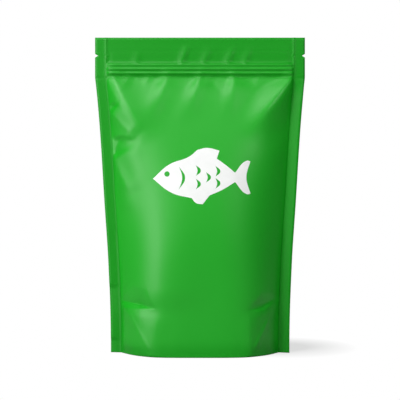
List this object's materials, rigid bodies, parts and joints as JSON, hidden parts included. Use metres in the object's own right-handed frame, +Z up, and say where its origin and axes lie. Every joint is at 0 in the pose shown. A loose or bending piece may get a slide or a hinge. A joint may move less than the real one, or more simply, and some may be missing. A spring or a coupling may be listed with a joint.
{
  "type": "stand-up pet food pouch",
  "caption": "Filled stand-up pouch of satin green film with sealed sides and top, a press-to-close zip, tear notches and a round-bottom gusset, for dry pet food.",
  "frame": {"origin": "middle of the base, on the floor", "axes": "+Z up to the top seal, +X along the top edge to the right as seen from the front, -Y towards the front"},
  "size_m": [0.16, 0.0576, 0.24],
  "materials": {
    "green_film": "satin printed film laminate",
    "white_print": "opaque white ink under the same satin film"
  },
  "bodies": {
    "root": {"pouch": "green_film"}
  },
  "joints": []
}
